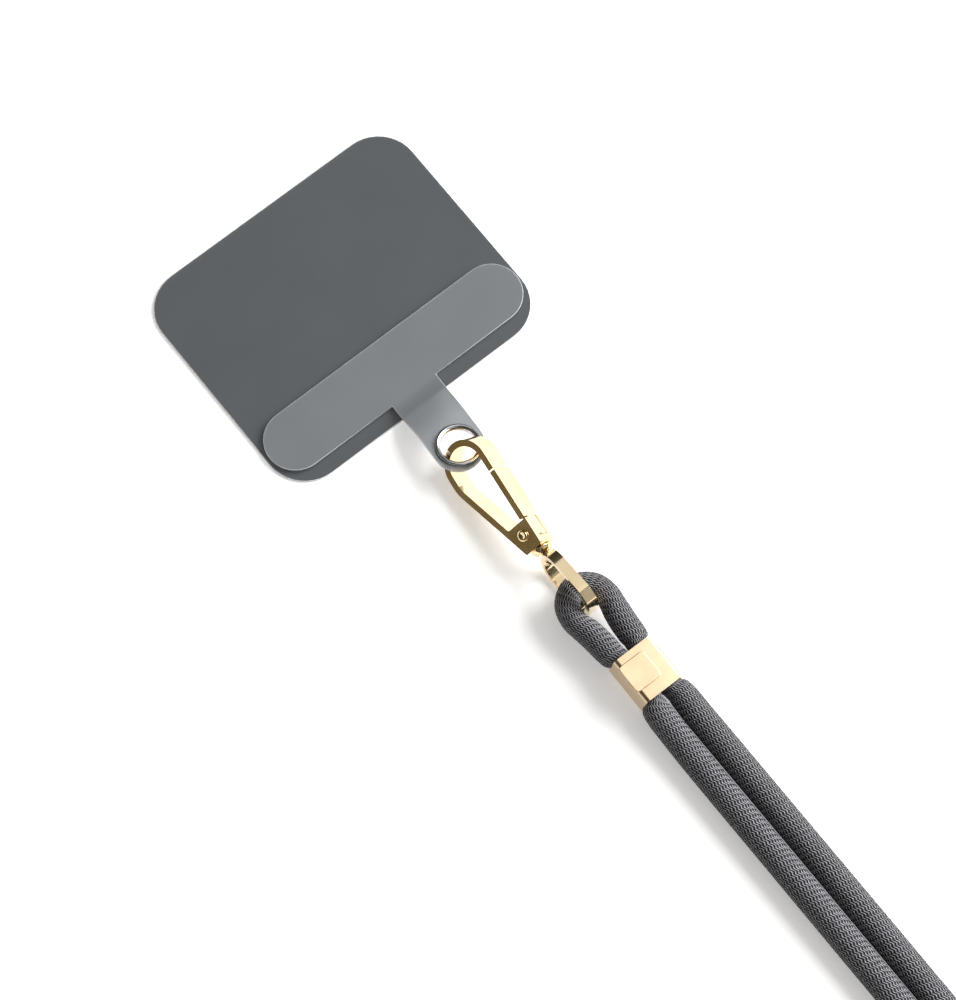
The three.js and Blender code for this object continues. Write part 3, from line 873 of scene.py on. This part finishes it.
@dataclass
class KnitTube:
    """A stretch of the cord as a knitted tube.

    The radius is the cord's, less the depth of the knit between two yarns. The yarns follow the same lines as
    the knit finish: a cosine round the cord that drifts along it and wavers once a stitch.

    Attributes:
        name: Name of the piece.
        node: The solid that it stands for.
        route: The cord's route.
        knit: The finish whose lines it follows.
        spans: Starts and ends of its stretches, as lengths along the route in metres.
        columns: Points round the cord.
        step: Length between two rounds, in metres.
        depth: Depth of the knit, in metres.
    """

    name: str
    node: str
    route: CordRoute
    knit: KnitFinish
    spans: list[tuple[float, float]]
    columns: int
    step: float
    depth: float

    LOOK_AHEAD: ClassVar[float] = 1.0 * MM  # reach along the route for its direction
    YARN_COLUMNS: ClassVar[int] = 3  # fewest columns to a yarn that can show it

    def rounds(self, start: float, stop: float) -> tuple[np.ndarray, np.ndarray, np.ndarray]:
        """Places the rounds of one stretch.

        Args:
            start: Length along the route where it starts.
            stop: Where it ends.

        Returns:
            The rounds' middles, their lengths along the route, and their points.
        """
        places, lengths = self.route.curve()
        whole = lengths[-1]
        count = max(int(round((stop - start) / self.step)), 2)
        along = np.linspace(start, stop, count + 1)

        def at(length: np.ndarray) -> np.ndarray:
            """Reads the route's places at some lengths along it."""
            return np.stack([np.interp(length % whole, lengths, places[:, k]) for k in range(3)], axis=1)

        middles = at(along)
        forward = at(along + self.LOOK_AHEAD) - at(along - self.LOOK_AHEAD)
        forward /= np.linalg.norm(forward, axis=1, keepdims=True)
        side = np.cross(forward, (0.0, 0.0, 1.0))
        side /= np.linalg.norm(side, axis=1, keepdims=True)
        up = np.cross(side, forward)
        share = np.linspace(0, 1, self.columns, endpoint=False)
        angle = 2 * np.pi * share
        radius = self.route.radius - self.depth * (1 - self.relief(along[:, None], share[None, :]))
        points = (
            middles[:, None, :]
            + (radius * np.cos(angle))[..., None] * up[:, None, :]
            + (radius * np.sin(angle))[..., None] * side[:, None, :]
        )
        roll = math.radians(self.route.roll)
        across = np.cross((0, -math.sin(roll), math.cos(roll)), forward)
        across /= np.linalg.norm(across, axis=1, keepdims=True)
        offset = np.einsum("ijk,ik->ij", points - middles[:, None, :], across)
        narrowing = self.route.squeeze(middles[:, 0]) - 1
        points += (offset * narrowing[:, None])[..., None] * across[:, None, :]
        return middles, along, points

    def relief(self, along: np.ndarray, share: np.ndarray) -> np.ndarray:
        """Gives the knit's height, from 0 between two yarns to 1 on top of one.

        A tube with too few columns for the yarns is smooth, half way between the two.

        Args:
            along: Length along the route, in metres.
            share: Share of the way round.

        Returns:
            The height of each place.
        """
        turn = 2 * np.pi
        knit = self.knit
        if self.columns < self.YARN_COLUMNS * knit.wales:
            return np.broadcast_to(0.5, np.broadcast_shapes(along.shape, share.shape))
        beat = turn * (along / knit.stitch + share * knit.STITCH_TURNS)
        line = turn * (share * knit.wales + along * knit.drift + knit.waver * np.sin(beat))
        swell = 1 - knit.SWELL + knit.SWELL * np.sin(beat + knit.SWELL_LAG)
        return 0.5 + 0.5 * np.cos(line) * swell

    def mesh(self) -> bpy.types.Object:
        """Makes the piece's tubes, closed at their ends.

        Returns:
            The piece.
        """
        verts, faces, corners = [], [], []
        base = 0
        for start, stop in self.spans:
            middles, along, points = self.rounds(start, stop)
            count = len(along)
            row, column = np.meshgrid(np.arange(count - 1), np.arange(self.columns), indexing="ij")
            following = (column + 1) % self.columns
            quads = base + np.stack(
                [
                    row * self.columns + column,
                    row * self.columns + following,
                    (row + 1) * self.columns + following,
                    (row + 1) * self.columns + column,
                ],
                axis=-1,
            ).reshape(-1, 4)
            share = column / self.columns
            next_share = (column + 1) / self.columns
            uv = np.stack(
                [
                    np.stack([along[row], share], -1),
                    np.stack([along[row], next_share], -1),
                    np.stack([along[row + 1], next_share], -1),
                    np.stack([along[row + 1], share], -1),
                ],
                axis=2,
            ).reshape(-1, 2)
            first = np.arange(self.columns)
            after = (first + 1) % self.columns
            poles = base + count * self.columns + np.array([0, 1])
            near = np.stack([np.full(self.columns, poles[0]), base + after, base + first], axis=1)
            last = base + (count - 1) * self.columns
            far = np.stack([np.full(self.columns, poles[1]), last + first, last + after], axis=1)
            verts += [points.reshape(-1, 3), middles[[0]], middles[[-1]]]
            faces += quads.tolist() + near.tolist() + far.tolist()
            corners += [uv, np.zeros((6 * self.columns, 2))]
            base += count * self.columns + 2
        return add_object(self.name, np.concatenate(verts), faces, np.concatenate(corners))

    def dress(self, material: bpy.types.Material) -> bpy.types.Object:
        """Makes the piece and puts it in place of its solid.

        Args:
            material: Its material.

        Returns:
            The piece.
        """
        piece = self.mesh()
        settle(piece, Body.STRAP, Slot.CORD, material, self.node)
        return piece


@dataclass
class Cord:
    """The whole cord: the eye, the two strands beside it and the loop round the body.

    Attributes:
        route: Its route.
        knit: Its finish.
        strand: Length of each finely knitted strand past the eye, in metres.
    """

    route: CordRoute
    knit: KnitFinish
    strand: float = 64 * MM

    FINE_COLUMNS: ClassVar[int] = 132
    FINE_STEP: ClassVar[float] = 0.25 * MM
    COARSE_COLUMNS: ClassVar[int] = 64
    COARSE_STEP: ClassVar[float] = 1.2 * MM
    KNIT_DEPTH: ClassVar[float] = 0.12 * MM

    def dress(self, material: bpy.types.Material) -> list[bpy.types.Object]:
        """Makes the cord's pieces.

        Args:
            material: The knit's material.

        Returns:
            The pieces.
        """
        lengths = self.route.curve()[1]
        whole = float(lengths[-1])
        eye = float(lengths[2 * len(CordRoute.EYE) * CordRoute.STEPS])
        upper, lower = eye + self.strand, whole - self.strand
        fine = (self.FINE_COLUMNS, self.FINE_STEP, self.KNIT_DEPTH)
        coarse = (self.COARSE_COLUMNS, self.COARSE_STEP, self.KNIT_DEPTH)
        stretches = [
            ("cord_eye_look", "cord_eye", [(0.0, eye)], fine),
            ("cord_strands_look", "cord_loop", [(eye, upper), (lower, whole)], fine),
            ("cord_loop_look", "cord_loop", [(upper, lower)], coarse),
        ]
        return [
            KnitTube(name, node, self.route, self.knit, spans, *detail).dress(material)
            for name, node, spans, detail in stretches
        ]


@dataclass
class Studio:
    """The table, the soft lights and the camera.

    Attributes:
        target: The point in the middle of the picture, in metres.
        distance: From the target to the camera.
        tilt: Angle of the view from straight down, in degrees.
        turn: Direction that the camera stands in, in degrees from +X towards +Y.
        scale: Pixels in a millimetre at the target.
    """

    target: Vector
    distance: float = 0.52
    tilt: float = 17.5
    turn: float = -38.5
    scale: float = 6.4

    KEY_PLACE: ClassVar[tuple] = (0.75, 0.3, 0.5)  # right and up in the picture, then up from the table
    KEY_SIZE: ClassVar[float] = 0.75
    KEY_POWER: ClassVar[float] = 18.0
    OVERHEAD_PLACE: ClassVar[tuple] = (-0.12, 0.42, 1.1)
    OVERHEAD_SIZE: ClassVar[float] = 0.9
    OVERHEAD_POWER: ClassVar[float] = 1.7
    SURROUND: ClassVar[list] = [
        (0.0, (0.36, 0.3, 0.18)),
        (0.3, (0.1, 0.09, 0.065)),
        (0.5, (0.25, 0.25, 0.25)),
        (0.8, (1.0, 1.0, 1.0)),
    ]
    SURROUND_STRENGTH: ClassVar[float] = 0.45
    FLOOR: ClassVar[float] = 6.0  # side of the table top, in metres
    FLOOR_DROP: ClassVar[float] = 0.05 * MM  # keeps the table's face clear of the film's
    SENSOR: ClassVar[float] = 36.0  # height of the sensor, in millimetres

    def axes(self) -> tuple[Vector, Vector, Vector]:
        """Gives the camera's directions.

        Returns:
            To the right, up in the picture, and back from the target to the camera.
        """
        tilt, turn = math.radians(self.tilt), math.radians(self.turn)
        back = Vector((math.sin(tilt) * math.cos(turn), math.sin(tilt) * math.sin(turn), math.cos(tilt)))
        right = Vector((-math.sin(turn), math.cos(turn), 0))
        return right, back.cross(right), back

    def camera(self) -> None:
        """Makes the camera at the photograph's angle."""
        right, up, back = self.axes()
        lens = bpy.data.cameras.new("camera")
        lens.sensor_fit = "VERTICAL"
        lens.sensor_height = self.SENSOR
        lens.lens = self.scale / MM * self.distance / IMAGE_HEIGHT * self.SENSOR
        lens.clip_start = 0.01
        eye = bpy.data.objects.new("camera", lens)
        matrix = Matrix((right, up, back)).transposed().to_4x4()
        matrix.translation = self.target + back * self.distance
        eye.matrix_world = matrix
        bpy.context.scene.collection.objects.link(eye)
        bpy.context.scene.camera = eye

    def lamp(self, name: str, place: Vector, size: float, power: float, colour: tuple) -> None:
        """Adds a square soft light that faces the target.

        Args:
            name: Its name.
            place: Its place from the target, in metres.
            size: Its side, in metres.
            power: Its power, in watts.
            colour: Its colour, linear.
        """
        light = bpy.data.lights.new(name, "AREA")
        light.size = size
        light.energy = power
        light.color = colour
        lamp = bpy.data.objects.new(name, light)
        lamp.location = self.target + place
        lamp.rotation_euler = (-place).to_track_quat("-Z", "Y").to_euler()
        bpy.context.scene.collection.objects.link(lamp)

    def lights(self) -> None:
        """Adds a light from the picture's right, a broad one above and a surround with a warm dark side."""
        right, up, _ = self.axes()
        key = right * self.KEY_PLACE[0] + up * self.KEY_PLACE[1] + Vector((0, 0, self.KEY_PLACE[2]))
        self.lamp("key", key, self.KEY_SIZE, self.KEY_POWER, (1.0, 0.99, 0.98))
        overhead = Vector(self.OVERHEAD_PLACE)
        self.lamp("overhead", overhead, self.OVERHEAD_SIZE, self.OVERHEAD_POWER, (1.0, 1.0, 1.0))
        world = bpy.data.worlds.new("surround")
        world.use_nodes = True
        graph = NodeGraph(world.node_tree)
        direction = graph.add("ShaderNodeTexCoord").outputs["Generated"]
        side = graph.add(
            "ShaderNodeVectorMath", {0: direction, 1: tuple(right)}, operation="DOT_PRODUCT"
        ).outputs["Value"]
        colour = graph.ramp(graph.math("ADD", graph.math("MULTIPLY", side, 0.5), 0.5), self.SURROUND)
        glow = graph.add("ShaderNodeBackground", {"Color": colour, "Strength": self.SURROUND_STRENGTH})
        graph.add("ShaderNodeOutputWorld", {"Surface": glow.outputs["Background"]})
        bpy.context.scene.world = world

    def floor(self) -> None:
        """Makes the plain pale table top."""
        half = self.FLOOR / 2
        corners = np.array([[-half, -half, 0], [half, -half, 0], [half, half, 0], [-half, half, 0]])
        corners -= (0, 0, self.FLOOR_DROP)
        table = add_object("table", corners, [[0, 1, 2, 3]])
        table.data.materials.append(PALE_TABLE.build())

    def build(self) -> None:
        """Makes the whole stage."""
        self.camera()
        self.lights()
        self.floor()
        bpy.context.scene.view_settings.view_transform = "Standard"


def build_strap() -> None:
    """Builds every piece of the strap."""
    gold, satin, nickel = POLISHED_GOLD.build(), SATIN_GOLD.build(), NICKEL.build()
    # painted highlight for the film's and the tab's rounded edges
    edge_highlight = PAINTED_EDGE_HIGHLIGHT.build()
    hard = [
        (HardPiece("phone_film", Body.HOOK, Slot.FILM, 0.13 * MM, edge_highlight), CLEAR_FILM.build()),
        (HardPiece("t_tab", Body.HOOK, Slot.TAB, 0.14 * MM, edge_highlight), FROSTED_TAB.build()),
        (HardPiece("tab_eyelet", Body.HOOK, Slot.STEEL, 0.08 * MM), nickel),
        (HardPiece("hook_frame", Body.HOOK, Slot.GOLD, 0.14 * MM), gold),
        (Gate("hook_gate", Body.GATE, Slot.GOLD, 0.14 * MM), gold),
        (HardPiece("swivel_post", Body.HOOK, Slot.GOLD, 0.06 * MM), gold),
        (HardPiece("cord_ring", Body.STRAP, Slot.GOLD, 0.2 * MM), gold),
        (HardPiece("cord_clamp", Body.STRAP, Slot.SATIN, 0.14 * MM), satin),
        (HardPiece("clamp_plate", Body.STRAP, Slot.SATIN, 0.1 * MM), satin),
    ]
    for piece, material in hard:
        piece.dress(material)
    Rivet().dress(gold)
    Cord(CordRoute(), CHARCOAL_KNIT).dress(CHARCOAL_KNIT.build())


def main() -> None:
    """Builds the strap and its stage."""
    logging.basicConfig(level=logging.INFO, format="%(name)s: %(message)s")
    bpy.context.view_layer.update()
    Studio(target=Vector((38.69, -3.2, 0.0)) * MM).build()
    build_strap()


if __name__ == "__main__":
    main()
